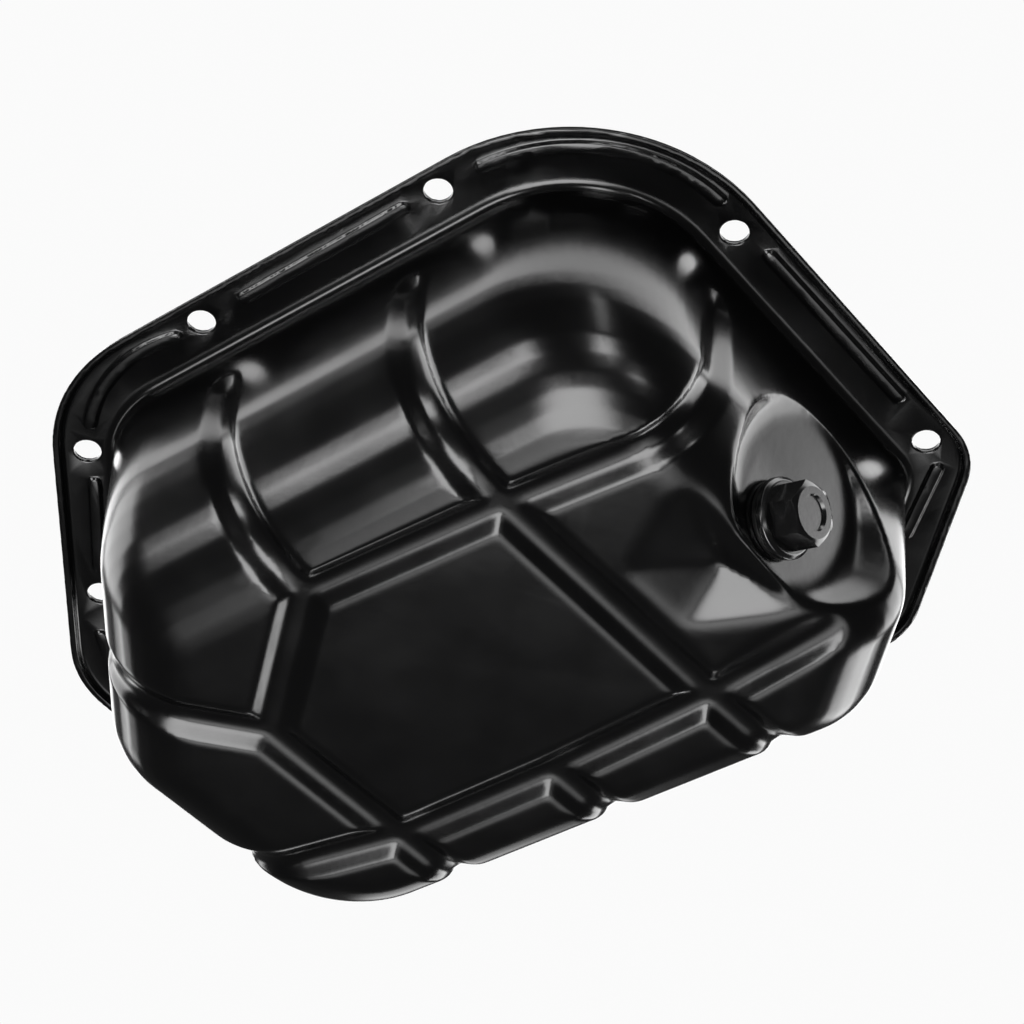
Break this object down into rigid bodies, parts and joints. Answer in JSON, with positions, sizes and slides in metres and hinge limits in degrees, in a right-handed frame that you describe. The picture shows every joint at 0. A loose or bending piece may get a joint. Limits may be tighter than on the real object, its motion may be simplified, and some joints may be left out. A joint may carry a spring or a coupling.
{
  "type": "engine oil pan",
  "caption": "Shallow pressed steel engine oil pan with a grooved sump, a flat bolted flange with a turned edge, and a drain plug on a slanted facet.",
  "frame": {"origin": "midpoint between the two locating bolt holes, on the gasket face", "axes": "+Z out of the gasket face towards the engine block, the sump hangs towards -Z; +X towards the end with the drain plug; +Y towards the side without the drain plug"},
  "size_m": [0.2343, 0.2356, 0.0626],
  "materials": {
    "black_coating": "gloss black dip coating over pressed steel",
    "black_plug": "gloss black coated steel",
    "black_washer": "black coated metal sealing ring"
  },
  "bodies": {
    "pan": {"oil_pan": "black_coating", "drain_nut": "black_coating"},
    "washer_carrier": {"drain_plug_gasket": "black_washer"},
    "plug": {"drain_plug": "black_plug"}
  },
  "joints": [
    {"name": "plug_travel", "type": "slide", "parent": "pan", "child": "washer_carrier", "axis": [0.7699, -0.5199, -0.37], "range_m": [0, 0.01625]},
    {"name": "plug_turn", "type": "hinge", "parent": "washer_carrier", "child": "plug", "pos_m": [0.0685, -0.04095, -0.05], "axis": [0.7699, -0.5199, -0.37], "range_deg": [0, 4680]}
  ],
  "couplings": [
    {"joint": "plug_turn", "follows": "plug_travel", "rad_per_m": 5026.5}
  ]
}
